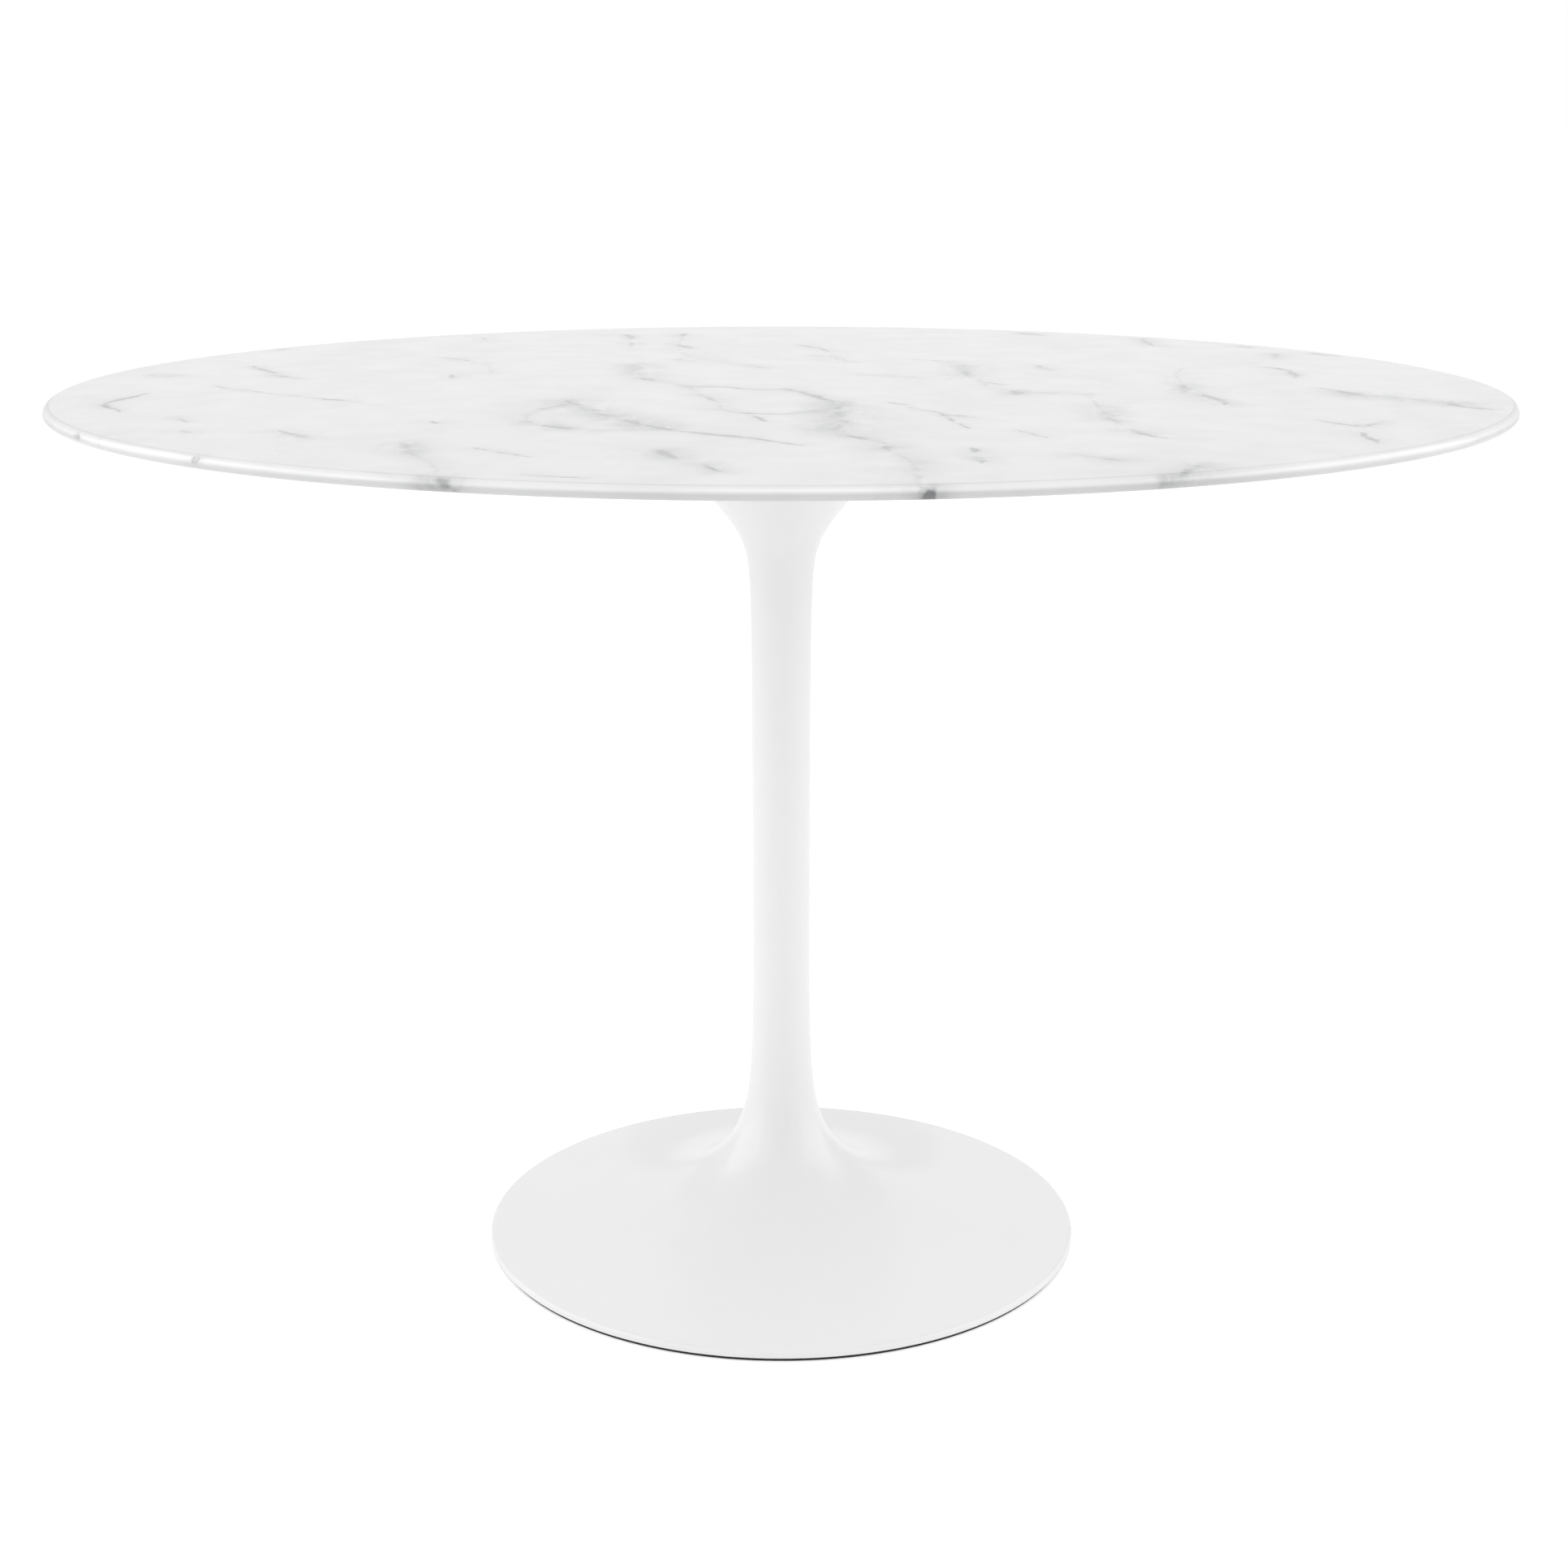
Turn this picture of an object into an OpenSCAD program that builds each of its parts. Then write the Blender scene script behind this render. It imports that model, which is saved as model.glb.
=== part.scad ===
// Round pedestal table: a marble-faced top carried on a hollow flared casting.
// One central tie rod pulls the top plate down onto the casting.
// Origin: centre of the footprint on the floor, +Z up.

/* [Table] */
// Height of the finished top above the floor
table_h = 750; // [700:5:780]
// Diameter of the top
top_d = 1184; // [900:2:1400]
// Diameter of the foot
foot_d = 514; // [420:2:640]

/* [Top] */
// Thickness of the cast marble slab, which is the edge seen from the side
slab_t = 9.4; // [9:0.2:16]
// Radius that rounds the slab's upper edge
slab_round = 6; // [3:0.5:6]
// Thickness of the board under the slab
core_t = 14.6; // [13:0.2:24]
// Width of the shallow bevel under the board's edge
bevel_w = 105; // [60:5:160]

/* [Pedestal] */
// Radius of the stem at its waist
stem_r = 24.5; // [22:0.5:34]
// Height over which the foot's flare shrinks to 37 percent
foot_decay = 31; // [26:1:36]
// Height of the foot's edge, floor ring included
foot_edge_z = 9; // [8:0.5:12]
// Radius that rounds the foot's edge
foot_round = 3; // [2:0.5:4]
// Radial growth per unit of height in the head's cone
head_slope = 0.89; // [0.7:0.01:1.1]
// Depth of the head's flare below the casting's top
head_depth = 100; // [80:5:130]
// Length over which the stem bends into the head's cone
head_blend = 21; // [10:1:30]
// Wall thickness of the casting
wall = 6; // [5:0.5:7]

/* [Top fixing] */
// Radius of the steel mounting plate
plate_r = 150; // [140:5:180]
// Thickness of the mounting plate
plate_t = 5; // [4:0.5:8]
// Number of screws that hold the plate to the board
screw_count = 8; // [6:1:12]
// Radius of the circle of screws
screw_circle_r = 132; // [128:1:136]
// Diameter of the screws that hold the plate
screw_d = 6; // [5:1:8]

/* [Tie rod] */
// Diameter of the tie rod
rod_d = 12; // [10:1:16]
// Height of the web that the rod's clamp pulls against
web_z = 58; // [50:1:66]

/* [Ballast] */
// Number of bolts that hold the ballast ring
ballast_bolt_count = 4; // [3:1:6]
// Diameter of the ballast bolts
ballast_bolt_d = 8; // [6:1:10]
// Radius of the circle of ballast bolts
ballast_circle_r = 120; // [112:2:130]

/* [Floor ring] */
// Thickness of the rubber ring under the foot
ring_t = 3; // [2:0.5:4]
// How far the rubber ring is set in from the foot's edge
ring_inset = 2.5; // [1:0.5:5]
// Width of the rubber ring
ring_w = 11.5; // [8:0.5:16]

/* [Hidden] */

// Facets of big rings, of middle-sized turned parts and of small fasteners
big_fn = 240;
mid_fn = 120;
small_fn = 48;
// Overshoot that keeps cutting faces clear of each other
eps = 0.5;
// Steps in a quarter round
arc_steps = 8;

top_r = top_d / 2;
foot_r = foot_d / 2;

// Heights of the stacked parts, from the top down
slab_z = table_h - slab_t;
core_z = slab_z - core_t;
plate_z = core_z - plate_t;
pad_t = 1;
casting_top_z = plate_z - pad_t;

// Slab: the nose under the upper round
slab_nose = slab_t - slab_round;

// Board: its edge is set in and starts just under the slab
core_inset = 5;
core_edge_t = 0.2;
insert_len = 12;
insert_wall = 1.6;

// Mounting plate and its fasteners
plate_edge = 1;
screw_clearance = 0.4;
screw_grip = 10;
head_h = 4;
head_r = screw_d * 0.9;
socket_depth = 2.4;
socket_r = screw_d * 0.37;
washer_t = 1.4;
lock_washer_t = 1.6;
lock_slot = 1.2;

// Hub in the middle of the plate, which centres the casting
hub_r = 22;
hub_neck_r = 16;
hub_len = 23;
hub_fit = 0.1;
hub_thread_depth = 21;

// Pad between plate and casting
pad_in_r = 30;
pad_set_in = 4;

// Casting
head_z = casting_top_z - head_depth;
head_web = 9;
head_lip = 5;
lip_z = casting_top_z - head_lip;
web_t = 8;
lip_round = 1;
land_w = 15;
boss_r = 9;
boss_z = 19;
boss_sunk = 1;
boss_thread_depth = 11;
rod_clearance = 0.5;
foot_curve_top = 105;
neck_low = 200;
neck_high = 560;

// Clamp under the web
clamp_r = 45;
clamp_t = 4;
rod_washer_r = rod_d;
rod_washer_t = 2.5;
rod_lock_t = 3;
nut_h = rod_d * 0.87;
nut_r = rod_d * 0.9;
rod_end_past_nut = 8;
clamp_z = web_z - clamp_t;
rod_washer_z = clamp_z - rod_washer_t;
rod_lock_z = rod_washer_z - rod_lock_t;
rod_nut_z = rod_lock_z - nut_h;
hub_z = plate_z - hub_len;
rod_engaged = 20;

// Ballast ring
ballast_z = 4;
ballast_in_r = 74;
ballast_out_r = 204;
ballast_gap = 1.5;
ballast_seat_z = 13;
ballast_head_h = 5.1;

// Radius of the casting's outside at height z; the head ends in a short upright lip
function foot_flare(z) = (foot_r - stem_r) * exp((foot_edge_z - z) / foot_decay);
function head_flare(z) =
    head_slope / 2 * (sqrt(pow(z - head_z, 2) + pow(head_blend, 2)) + z - head_z);
function casting_r(z) = stem_r + foot_flare(z) + head_flare(min(z, lip_z));
// Height of the foot's upper surface at radius r
function foot_z(r) = foot_edge_z + foot_decay * ln((foot_r - stem_r) / (r - stem_r));

// Points of a round of radius r about [cx, cz], from angle a to angle b
function arc(cx, cz, r, a, b) =
    [for (i = [0:arc_steps]) let (t = a + (b - a) * i / arc_steps) [cx + r * cos(t), cz + r * sin(t)]];

// Heights at which the casting's curves are cut into short cones
function heights(a, b, step) = [for (i = [0:round((b - a) / step) - 1]) a + i * step];

module turned(points, facets) {
    rotate_extrude($fn = facets) polygon(points);
}

module ring(out_r, in_r, z, h, facets = small_fn) {
    translate([0, 0, z])
        difference() {
            cylinder(r = out_r, h = h, $fn = facets);
            translate([0, 0, -eps]) cylinder(r = in_r, h = h + 2 * eps, $fn = facets);
        }
}

// Spring washer: a ring cut through at one side
module split_ring(out_r, in_r, z, h) {
    difference() {
        ring(out_r, in_r, z, h);
        translate([in_r / 2, -lock_slot / 2, z - eps]) cube([out_r, lock_slot, h + 2 * eps]);
    }
}

module around(count, circle_r) {
    for (i = [0:count - 1]) rotate([0, 0, (i + 0.5) * 360 / count]) translate([circle_r, 0, 0]) children();
}

// Cast slab: flat face, rounded upper edge and a small nose turned under
module marble_top() {
    color("whitesmoke")
        turned(concat(
            [[0, slab_z]],
            arc(top_r - slab_nose, slab_z + slab_nose, slab_nose, -90, 0),
            arc(top_r - slab_round, table_h - slab_round, slab_round, 90 / arc_steps, 90),
            [[0, table_h]]
        ), big_fn);
}

// Board bonded under the slab, thinned towards its edge by a wide bevel
module top_core() {
    edge_r = top_r - core_inset;
    color("white")
        difference() {
            turned([
                [0, core_z], [edge_r - bevel_w, core_z], [edge_r, slab_z - core_edge_t],
                [edge_r, slab_z], [0, slab_z]
            ], big_fn);
            around(screw_count, screw_circle_r)
                translate([0, 0, core_z - eps])
                    cylinder(d = screw_d + 2 * insert_wall, h = insert_len + eps, $fn = small_fn);
        }
}

// Brass inserts pressed into the board
module threaded_inserts() {
    color("goldenrod")
        around(screw_count, screw_circle_r)
            ring(screw_d / 2 + insert_wall, screw_d / 2, core_z, insert_len);
}

module mounting_plate() {
    color("gainsboro")
        difference() {
            turned([
                [0, plate_z], [plate_r - plate_edge, plate_z], [plate_r, plate_z + plate_edge],
                [plate_r, core_z], [0, core_z]
            ], mid_fn);
            translate([0, 0, plate_z - eps]) cylinder(r = hub_neck_r, h = plate_t + 2 * eps, $fn = mid_fn);
            around(screw_count, screw_circle_r)
                translate([0, 0, plate_z - eps])
                    cylinder(d = screw_d + screw_clearance, h = plate_t + 2 * eps, $fn = small_fn);
        }
}

// Socket-head screws, driven from below
module plate_screws() {
    head_top_z = plate_z - washer_t - lock_washer_t;
    color("silver")
        around(screw_count, screw_circle_r) {
            difference() {
                union() {
                    translate([0, 0, head_top_z - head_h]) cylinder(r = head_r, h = head_h, $fn = small_fn);
                    translate([0, 0, head_top_z - eps])
                        cylinder(d = screw_d, h = core_z + screw_grip - head_top_z + eps, $fn = small_fn);
                }
                translate([0, 0, head_top_z - head_h - eps])
                    cylinder(r = socket_r * 2 / sqrt(3), h = socket_depth + eps, $fn = 6);
            }
        }
}

module plate_lock_washers() {
    color("silver")
        around(screw_count, screw_circle_r)
            split_ring(head_r, screw_d / 2, plate_z - washer_t - lock_washer_t, lock_washer_t);
}

module plate_flat_washers() {
    color("silver")
        around(screw_count, screw_circle_r)
            ring(screw_d, screw_d / 2, plate_z - washer_t, washer_t);
}

// Threaded hub: its neck fills the plate's centre hole, its body centres the casting
module plate_hub() {
    color("darkgray")
        difference() {
            union() {
                translate([0, 0, hub_z]) cylinder(r = hub_r, h = hub_len, $fn = mid_fn);
                translate([0, 0, plate_z - eps]) cylinder(r = hub_neck_r, h = plate_t + eps, $fn = mid_fn);
            }
            translate([0, 0, hub_z - eps]) cylinder(d = rod_d, h = hub_thread_depth + eps, $fn = small_fn);
        }
}

module head_pad() {
    color("dimgray")
        ring(casting_r(casting_top_z) - pad_set_in, pad_in_r, casting_top_z, pad_t, mid_fn);
}

// Outside of the casting, from the edge of the foot to the top of the head
module casting_outside() {
    edge_slope = atan(foot_decay / (foot_r - stem_r));
    round_end_r = foot_r - foot_round + foot_round * sin(edge_slope);
    round_z = foot_z(round_end_r) - foot_round * cos(edge_slope);
    first_z = foot_z(round_end_r) + 1;
    head_low = neck_high + 8;
    turned(concat(
        [[0, ring_t]],
        arc(foot_r - lip_round, ring_t + lip_round, lip_round, -90, 0),
        arc(foot_r - foot_round, round_z, foot_round, 0, 90 - edge_slope),
        [for (z = heights(first_z, foot_curve_top, 3)) [casting_r(z), z]],
        [for (z = heights(foot_curve_top, neck_low, 10)) [casting_r(z), z]],
        [for (z = heights(neck_low, neck_high, 40)) [casting_r(z), z]],
        [for (z = heights(head_low, lip_z, 6)) [casting_r(z), z]],
        [[casting_r(lip_z), lip_z]],
        arc(casting_r(lip_z) - lip_round, casting_top_z - lip_round, lip_round, 0, 90),
        [[0, casting_top_z]]
    ), big_fn);
}

// Hollow of the stem and head, closed by the head's web above and the clamp web below
module stem_hollow() {
    low = web_z + web_t;
    high = casting_top_z - head_web;
    turned(concat(
        [[0, low]],
        [for (z = heights(low, foot_curve_top, 6)) [casting_r(z) - wall, z]],
        [for (z = heights(foot_curve_top, neck_low, 16)) [casting_r(z) - wall, z]],
        [for (z = heights(neck_low, neck_high, 60)) [casting_r(z) - wall, z]],
        [for (z = heights(neck_high, high, 10)) [casting_r(z) - wall, z]],
        [[casting_r(high) - wall, high], [0, high]]
    ), mid_fn);
}

// Hollow under the foot, one wall thinner than the foot's upper surface
module foot_hollow() {
    land_r = foot_r - land_w;
    web_r = stem_r + (foot_r - stem_r) * exp((foot_edge_z - web_z - wall) / foot_decay);
    shrink = (web_r - stem_r) / (land_r - stem_r);
    steps = 24;
    turned(concat(
        [[0, ring_t - eps], [land_r, ring_t - eps]],
        [for (i = [0:steps]) let (r = stem_r + (land_r - stem_r) * pow(shrink, i / steps))
            [r, foot_z(r) - wall]],
        [[0, web_z]]
    ), mid_fn);
}

// One-piece casting: foot, stem and head
module pedestal() {
    boss_h = foot_z(ballast_circle_r + boss_r) - boss_z - boss_sunk;
    color("white")
        difference() {
            union() {
                difference() {
                    casting_outside();
                    stem_hollow();
                    foot_hollow();
                }
                around(ballast_bolt_count, ballast_circle_r)
                    translate([0, 0, boss_z]) cylinder(r = boss_r, h = boss_h, $fn = small_fn);
            }
            translate([0, 0, web_z - eps])
                cylinder(r = rod_d / 2 + rod_clearance, h = web_t + 2 * eps, $fn = small_fn);
            translate([0, 0, casting_top_z - head_web - eps])
                cylinder(r = hub_r + hub_fit, h = head_web + 2 * eps, $fn = mid_fn);
            around(ballast_bolt_count, ballast_circle_r)
                translate([0, 0, boss_z - eps])
                    cylinder(d = ballast_bolt_d, h = boss_thread_depth + eps, $fn = small_fn);
        }
}

// Rod that runs down the stem from the hub to the clamp
module tie_rod() {
    low = rod_nut_z - rod_end_past_nut;
    chamfer = 1;
    high = hub_z + rod_engaged;
    color("silver")
        turned([
            [0, low], [rod_d / 2 - chamfer, low], [rod_d / 2, low + chamfer],
            [rod_d / 2, high - chamfer], [rod_d / 2 - chamfer, high], [0, high]
        ], small_fn);
}

module hex_nut(z) {
    translate([0, 0, z])
        difference() {
            cylinder(r = nut_r, h = nut_h, $fn = 6);
            translate([0, 0, -eps]) cylinder(d = rod_d, h = nut_h + 2 * eps, $fn = small_fn);
        }
}

// Locks the rod against the hub
module rod_jam_nut() {
    color("silver") hex_nut(hub_z - nut_h);
}

module clamp_plate() {
    color("darkgray") ring(clamp_r, rod_d / 2 + rod_clearance, clamp_z, clamp_t, mid_fn);
}

module rod_flat_washer() {
    color("silver") ring(rod_washer_r, rod_d / 2, rod_washer_z, rod_washer_t);
}

module rod_lock_washer() {
    color("silver") split_ring(nut_r * 0.92, rod_d / 2, rod_lock_z, rod_lock_t);
}

module rod_nut() {
    color("silver") hex_nut(rod_nut_z);
}

// Cast-iron ring that follows the hollow under the foot
module ballast_ring() {
    steps = 8;
    clear_r = boss_r + 1;
    color("dimgray")
        difference() {
            turned(concat(
                [[ballast_in_r, ballast_z], [ballast_out_r, ballast_z]],
                [for (i = [0:steps]) let (r = ballast_out_r + (ballast_in_r - ballast_out_r) * i / steps)
                    [r, foot_z(r) - wall - ballast_gap]]
            ), mid_fn);
            around(ballast_bolt_count, ballast_circle_r) {
                translate([0, 0, ballast_z - eps])
                    cylinder(r = clear_r, h = ballast_seat_z - ballast_z + eps, $fn = small_fn);
                cylinder(d = ballast_bolt_d + 1, h = web_z, $fn = small_fn);
                translate([0, 0, boss_z]) cylinder(r = clear_r, h = web_z, $fn = small_fn);
            }
        }
}

module ballast_bolts() {
    head_top_z = ballast_seat_z - washer_t - lock_washer_t;
    grip_top_z = boss_z + boss_thread_depth - 1;
    color("silver")
        around(ballast_bolt_count, ballast_circle_r) {
            translate([0, 0, head_top_z - ballast_head_h])
                cylinder(r = ballast_bolt_d * 0.9, h = ballast_head_h, $fn = 6);
            translate([0, 0, head_top_z - eps])
                cylinder(d = ballast_bolt_d, h = grip_top_z - head_top_z + eps, $fn = small_fn);
        }
}

module ballast_lock_washers() {
    color("silver")
        around(ballast_bolt_count, ballast_circle_r)
            split_ring(ballast_bolt_d * 0.85, ballast_bolt_d / 2, ballast_seat_z - washer_t - lock_washer_t,
                lock_washer_t);
}

module ballast_flat_washers() {
    color("silver")
        around(ballast_bolt_count, ballast_circle_r)
            ring(ballast_bolt_d, ballast_bolt_d / 2, ballast_seat_z - washer_t, washer_t);
}

// Rubber ring that keeps the foot off the floor
module floor_ring() {
    out_r = foot_r - ring_inset;
    edge = 0.5;
    color("black")
        turned([
            [out_r - ring_w, 0], [out_r - edge, 0], [out_r, edge], [out_r, ring_t], [out_r - ring_w, ring_t]
        ], big_fn);
}

marble_top();
top_core();
threaded_inserts();
mounting_plate();
plate_screws();
plate_lock_washers();
plate_flat_washers();
plate_hub();
head_pad();
pedestal();
tie_rod();
rod_jam_nut();
clamp_plate();
rod_flat_washer();
rod_lock_washer();
rod_nut();
ballast_ring();
ballast_bolts();
ballast_lock_washers();
ballast_flat_washers();
floor_ring();
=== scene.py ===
"""Round pedestal table: detailed pieces, materials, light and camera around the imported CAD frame.

Everything is in metres, +Z up, with the origin at the centre of the footprint on the floor.
"""
import math
import random

import bpy
import numpy as np
from mathutils import Matrix, Vector


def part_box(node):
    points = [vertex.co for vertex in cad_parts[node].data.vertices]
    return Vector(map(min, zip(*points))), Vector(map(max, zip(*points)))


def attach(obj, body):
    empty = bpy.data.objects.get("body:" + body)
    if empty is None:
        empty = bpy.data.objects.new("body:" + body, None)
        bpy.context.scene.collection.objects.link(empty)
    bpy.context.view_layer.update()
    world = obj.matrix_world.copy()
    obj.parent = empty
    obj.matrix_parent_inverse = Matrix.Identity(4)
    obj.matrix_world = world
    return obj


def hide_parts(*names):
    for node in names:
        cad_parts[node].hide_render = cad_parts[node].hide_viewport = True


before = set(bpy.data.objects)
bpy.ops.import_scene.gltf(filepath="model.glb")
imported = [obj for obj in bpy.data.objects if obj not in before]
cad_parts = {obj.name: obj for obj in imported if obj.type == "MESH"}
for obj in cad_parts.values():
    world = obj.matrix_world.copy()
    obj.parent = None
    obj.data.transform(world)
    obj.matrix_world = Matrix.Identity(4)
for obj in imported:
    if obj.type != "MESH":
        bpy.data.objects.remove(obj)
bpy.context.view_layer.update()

MM = 0.001
CM = 10 * MM
ROOT = "root"

# ---------------------------------------------------------------- sizes, from the frame

slab_low, slab_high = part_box("marble_top")
core_low, core_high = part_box("top_core")
plate_low, plate_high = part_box("mounting_plate")
rod_low, rod_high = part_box("tie_rod")
ballast_low, ballast_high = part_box("ballast_ring")
foot_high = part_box("pedestal")[1]
ring_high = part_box("floor_ring")[1]
clamp_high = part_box("clamp_plate")[1]

TABLE_H = slab_high.z
TOP_R = slab_high.x
FOOT_R = foot_high.x
RING_T = ring_high.z
CASTING_TOP = foot_high.z
WEB_LOW = clamp_high.z
ROD_R = rod_high.x

# More sizes, the same as in the CAD source
STEM_R = 24.5 * MM
FOOT_DECAY = 31 * MM
FOOT_EDGE_Z = 9 * MM
FOOT_ROUND = 3 * MM
HEAD_SLOPE = 0.89
HEAD_DEPTH = 100 * MM
HEAD_BLEND = 21 * MM
HEAD_LIP = 5 * MM
WALL = 6 * MM
WEB_T = 8 * MM
HEAD_WEB = 9 * MM
LAND_W = 15 * MM
LIP_ROUND = 1 * MM
BOSS_R = 9 * MM
BOSS_Z = 19 * MM
ROD_CLEARANCE = 0.5 * MM
HUB_R = 22 * MM
HUB_NECK_R = 16 * MM
PAD_IN_R = 30 * MM
SLAB_ROUND = 6 * MM
BEVEL_W = 105 * MM
RING_W = 11.5 * MM

SCREW_COUNT = 8
SCREW_CIRCLE = 132 * MM
SCREW_R = 3 * MM
SCREW_HEAD_R = 5.4 * MM
SCREW_HEAD_H = 4 * MM

BALLAST_COUNT = 4
BALLAST_CIRCLE = 120 * MM
BALLAST_BOLT_R = 4 * MM
BALLAST_HEAD_H = 5.1 * MM
BALLAST_IN_R = 74 * MM
BALLAST_GAP = 1.5 * MM
BALLAST_SEAT_Z = 13 * MM
RECESS_R = 10 * MM


# ---------------------------------------------------------------- mesh making

def arc(centre_r, centre_z, radius, start, end, steps=10):
    """Points (r, z) of a round about a centre, between two angles in degrees."""
    angles = [math.radians(start + (end - start) * i / steps) for i in range(steps + 1)]
    return [(centre_r + radius * math.cos(a), centre_z + radius * math.sin(a)) for a in angles]


def spaced(start, end, step):
    """Numbers from start towards end, near enough step apart, without the end."""
    count = max(1, round(abs(end - start) / step))
    return [start + (end - start) * i / count for i in range(count)]


def turned(outline, segments=192, shape=None):
    """Vertices and faces of a solid turned about Z. The outline is a closed loop of (r, z) points with the
    solid on its left; points on the axis become poles. shape(r, z, angle) may change the radii."""
    angles = np.arange(segments) * 2 * math.pi / segments
    verts, rings = [], []
    for r, z in outline:
        if r < 1e-7:
            rings.append([len(verts)] * segments)
            verts.append((0.0, 0.0, z))
            continue
        radii = np.full(segments, r) if shape is None else shape(np.full(segments, r), z, angles)
        rings.append(list(range(len(verts), len(verts) + segments)))
        verts += list(zip(radii * np.cos(angles), radii * np.sin(angles), [z] * segments))
    faces = []
    for lower, upper in zip(rings, rings[1:] + rings[:1]):
        if lower[0] == lower[1] and upper[0] == upper[1]:
            continue
        for i in range(segments):
            j = (i + 1) % segments
            corners = [lower[i], lower[j], upper[j], upper[i]]
            faces.append(tuple(dict.fromkeys(corners)))
    return verts, faces


def placed(solid, offset, turn):
    """The solid turned about Z and moved."""
    matrix = Matrix.Translation(offset) @ Matrix.Rotation(turn, 4, "Z")
    return [tuple(matrix @ Vector(v)) for v in solid[0]], solid[1]


def joined(solids):
    """One mesh from several."""
    verts, faces = [], []
    for v, f in solids:
        start = len(verts)
        verts += v
        faces += [tuple(i + start for i in face) for face in f]
    return verts, faces


def around(solid, count, circle):
    """Copies of a solid on a circle, half a step past +X as in the CAD."""
    copies = []
    for i in range(count):
        angle = (i + 0.5) * 2 * math.pi / count
        place = (circle * math.cos(angle), circle * math.sin(angle), 0)
        copies.append(placed(solid, place, angle))
    return joined(copies)


def piece(name, solid, material, nodes=(), sharp_degrees=32):
    """A Blender object from a solid, riding on the root and standing for CAD nodes."""
    mesh = bpy.data.meshes.new(name)
    mesh.from_pydata(solid[0], [], solid[1])
    mesh.update()
    mesh.shade_smooth()
    mesh.set_sharp_from_angle(angle=math.radians(sharp_degrees))
    mesh.materials.append(material)
    obj = bpy.data.objects.new(name, mesh)
    bpy.context.scene.collection.objects.link(obj)
    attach(obj, ROOT)
    if nodes:
        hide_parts(*nodes)
    return obj


# ---------------------------------------------------------------- material making

def node(tree, kind, inputs=None, **settings):
    """Adds a node; inputs maps a socket's name or number to a value or to another node's output."""
    made = tree.nodes.new(kind)
    for key, value in settings.items():
        setattr(made, key, value)
    for key, value in (inputs or {}).items():
        if isinstance(value, bpy.types.NodeSocket):
            tree.links.new(value, made.inputs[key])
        else:
            made.inputs[key].default_value = value
    return made


def math_node(tree, operation, a, b=0.0, clamp=False):
    """The result of one operation on one or two values."""
    return node(tree, "ShaderNodeMath", {0: a, 1: b}, operation=operation, use_clamp=clamp).outputs[0]


def noise(tree, place, scale, detail=4.0, roughness=0.55, distortion=0.0):
    """A noise from 0 to 1, read at a place."""
    inputs = {"Vector": place, "Scale": scale, "Detail": detail, "Roughness": roughness,
              "Distortion": distortion}
    return node(tree, "ShaderNodeTexNoise", inputs).outputs[0]


def smooth(tree, value, low, high, to_low=0.0, to_high=1.0):
    """A smooth step of value from low to high."""
    inputs = {"Value": value, "From Min": low, "From Max": high, "To Min": to_low, "To Max": to_high}
    return node(tree, "ShaderNodeMapRange", inputs, interpolation_type="SMOOTHSTEP").outputs[0]


def shader(name, roughness, metallic=0.0, ior=1.5, coat=0.0, coat_roughness=0.05):
    """A new material: its tree, its surface node and a place to read textures from."""
    material = bpy.data.materials.new(name)
    material.use_nodes = True
    tree = material.node_tree
    surface = tree.nodes["Principled BSDF"]
    surface.inputs["Roughness"].default_value = roughness
    surface.inputs["Metallic"].default_value = metallic
    surface.inputs["IOR"].default_value = ior
    surface.inputs["Coat Weight"].default_value = coat
    surface.inputs["Coat Roughness"].default_value = coat_roughness
    place = node(tree, "ShaderNodeTexCoord").outputs["Object"]
    return material, tree, surface, place


def tint(tree, surface, value, dark, light):
    """Base colour between two colours, by value from 0 to 1."""
    mix = node(tree, "ShaderNodeMix", {"Factor": value}, data_type="RGBA")
    mix.inputs[6].default_value = (*dark, 1)
    mix.inputs[7].default_value = (*light, 1)
    tree.links.new(mix.outputs[2], surface.inputs["Base Color"])


def bump(tree, surface, height, strength, distance):
    """Relief from a height field, with its full height in metres."""
    made = node(tree, "ShaderNodeBump", {"Height": height, "Strength": strength, "Distance": distance})
    tree.links.new(made.outputs[0], surface.inputs["Normal"])


def vary_roughness(tree, surface, value, low, high):
    """Roughness between two values, by a noise."""
    tree.links.new(smooth(tree, value, 0.3, 0.7, low, high), surface.inputs["Roughness"])


def grey(level):
    """A neutral colour."""
    return (level, level, level)


def make_lacquer():
    """White gloss lacquer: a faint flow pattern and a clear, slightly wavy surface."""
    material, tree, surface, place = shader("white_lacquer", 0.3, ior=1.45, coat=0.35, coat_roughness=0.08)
    cloud = noise(tree, place, 9, 3)
    tint(tree, surface, cloud, grey(0.775), grey(0.795))
    vary_roughness(tree, surface, noise(tree, place, 30, 4), 0.29, 0.35)
    bump(tree, surface, noise(tree, place, 70, 1, 0.3), 0.03, 0.0006)
    return material


def make_board_paint():
    """Sprayed fibreboard: satin white with a fine stipple and slightly dull patches."""
    material, tree, surface, place = shader("board_paint", 0.5)
    tint(tree, surface, noise(tree, place, 6, 5), (0.72, 0.72, 0.71), (0.78, 0.78, 0.775))
    vary_roughness(tree, surface, noise(tree, place, 14, 4), 0.42, 0.58)
    bump(tree, surface, noise(tree, place, 900, 3, 0.6), 0.12, 0.0004)
    return material


def make_powder_coat():
    """White powder coat with its fine leathery texture."""
    material, tree, surface, place = shader("powder_coat", 0.45)
    tint(tree, surface, noise(tree, place, 20, 4), (0.70, 0.70, 0.70), (0.76, 0.76, 0.76))
    bump(tree, surface, noise(tree, place, 1400, 2, 0.5), 0.25, 0.0003)
    return material


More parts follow.
